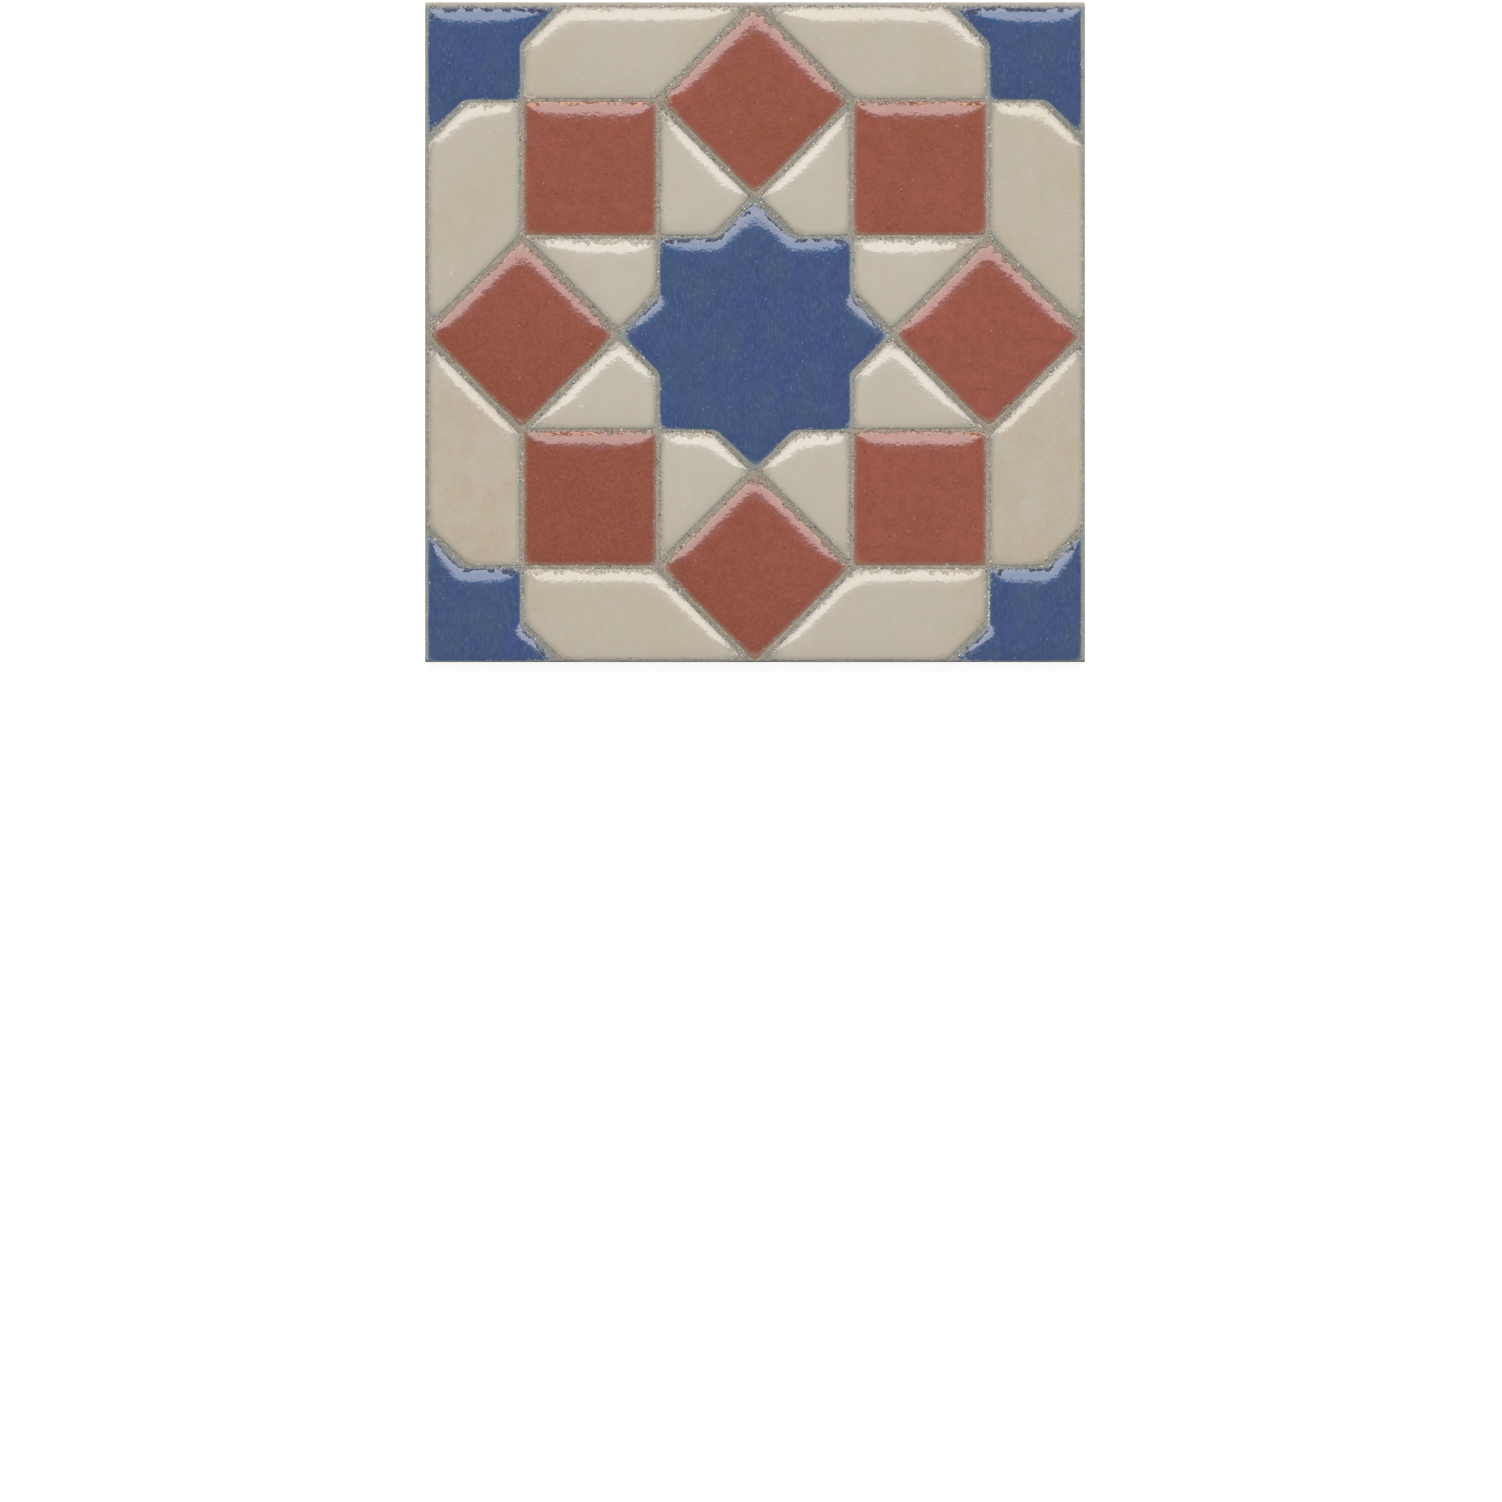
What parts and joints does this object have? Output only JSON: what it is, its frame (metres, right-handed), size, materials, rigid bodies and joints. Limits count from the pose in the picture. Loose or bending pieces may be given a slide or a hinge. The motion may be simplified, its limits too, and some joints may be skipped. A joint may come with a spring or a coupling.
{
  "type": "insert tile",
  "caption": "Square glazed ceramic insert tile with a raised geometric star pattern in ivory, terracotta and blue, parted by bare resist lines, and a flat back for adhesive.",
  "frame": {"origin": "centre of the tile's flat back, on the surface that it lies on", "axes": "+Z out of the glazed face, +Y towards the head of the pattern as the picture shows it, +X to its right"},
  "size_m": [0.1524, 0.1524, 0.0095],
  "materials": {
    "ivory_glaze": "gloss",
    "terracotta_glaze": "gloss",
    "blue_glaze": "gloss",
    "fired_clay": "matte"
  },
  "bodies": {
    "root": {"insert_tile": "ivory_glaze"}
  },
  "joints": []
}
